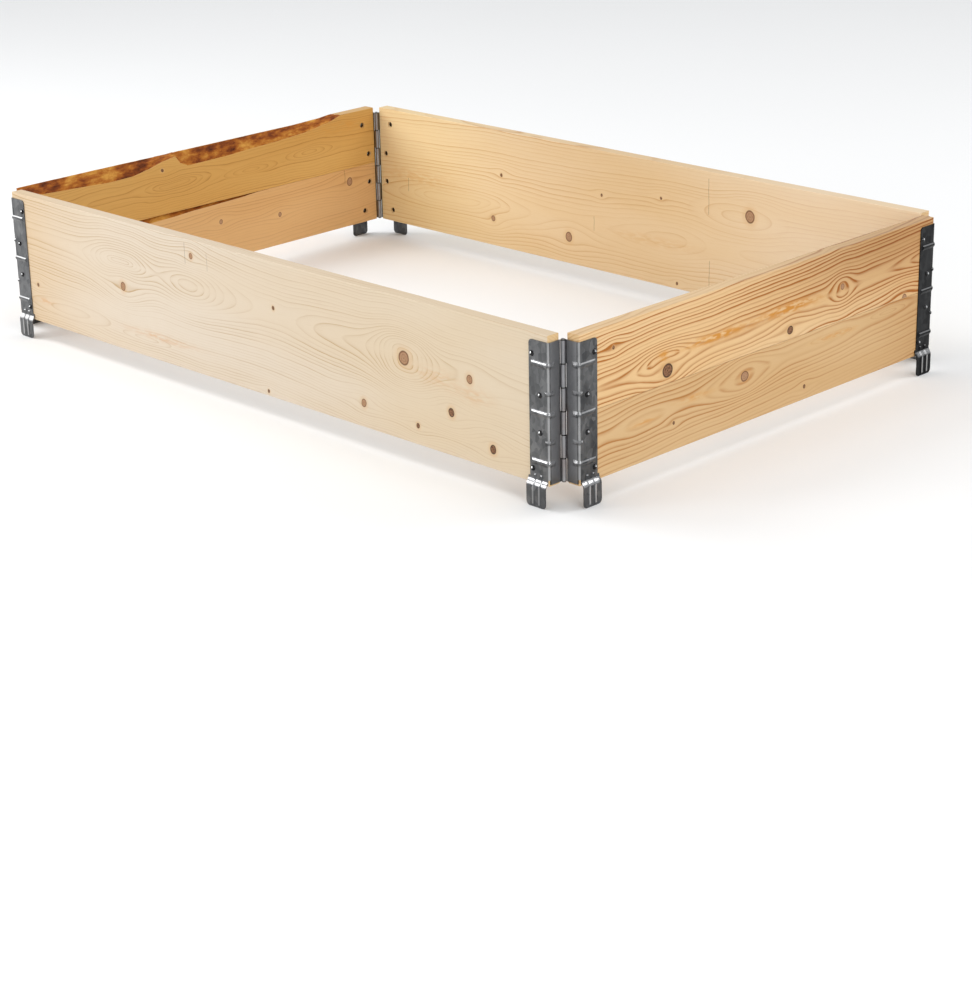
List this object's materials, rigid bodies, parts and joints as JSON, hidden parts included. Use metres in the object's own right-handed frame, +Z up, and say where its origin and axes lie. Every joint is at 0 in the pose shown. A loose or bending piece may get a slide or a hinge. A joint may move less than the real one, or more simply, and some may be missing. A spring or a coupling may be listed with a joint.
{
  "type": "wooden pallet collar",
  "caption": "Folding wooden collar that turns a flat pallet into an open box: board walls on riveted pressed-steel corner hinges, with lugs below that locate it on the pallet or collar beneath.",
  "frame": {"origin": "under the middle of the ring, on the plane of the lug tips", "axes": "+X along the long walls, towards the picture's right short wall; -Y out of the long wall that faces the camera; +Z up"},
  "size_m": [1.2144, 0.8144, 0.23],
  "materials": {
    "wood_front": "planed pale spruce",
    "wood_back": "planed spruce",
    "wood_left": "planed golden pine with some wane",
    "wood_right": "planed pine with strong grain",
    "hinge_steel": "dark galvanised sheet",
    "pin_steel": "drawn wire",
    "rivet_steel": "dark zinc"
  },
  "bodies": {
    "front_wall": {"front_board": "wood_front", "front_leaf_left": "hinge_steel", "front_leaf_right": "hinge_steel", "rivets_front_left": "rivet_steel", "rivets_front_right": "rivet_steel", "hinge_pin_front_left": "pin_steel", "hinge_pin_front_right": "pin_steel"},
    "right_wall": {"right_upper_board": "wood_right", "right_lower_board": "wood_right", "right_leaf_front": "hinge_steel", "right_leaf_back": "hinge_steel", "rivets_right_front": "rivet_steel", "rivets_right_back": "rivet_steel", "hinge_pin_back_right": "pin_steel"},
    "back_wall": {"back_board": "wood_back", "back_leaf_left": "hinge_steel", "back_leaf_right": "hinge_steel", "rivets_back_left": "rivet_steel", "rivets_back_right": "rivet_steel", "hinge_pin_back_left": "pin_steel"},
    "left_wall": {"left_upper_board": "wood_left", "left_lower_board": "wood_left", "left_leaf_front": "hinge_steel", "left_leaf_back": "hinge_steel", "rivets_left_front": "rivet_steel", "rivets_left_back": "rivet_steel"}
  },
  "joints": [
    {"name": "right_wall_fold", "type": "hinge", "parent": "front_wall", "child": "right_wall", "pos_m": [0.5762, -0.3762, 0.03], "axis": [0, 0, 1], "range_deg": [-90, 90]},
    {"name": "left_wall_fold", "type": "hinge", "parent": "front_wall", "child": "left_wall", "pos_m": [-0.5762, -0.3762, 0.03], "axis": [0, 0, 1], "range_deg": [-90, 90]},
    {"name": "back_wall_fold", "type": "hinge", "parent": "right_wall", "child": "back_wall", "pos_m": [0.5762, 0.3762, 0.03], "axis": [0, 0, 1], "range_deg": [-90, 90]}
  ],
  "couplings": [
    {"joint": "left_wall_fold", "follows": "right_wall_fold", "ratio": 1},
    {"joint": "back_wall_fold", "follows": "right_wall_fold", "ratio": -1}
  ]
}
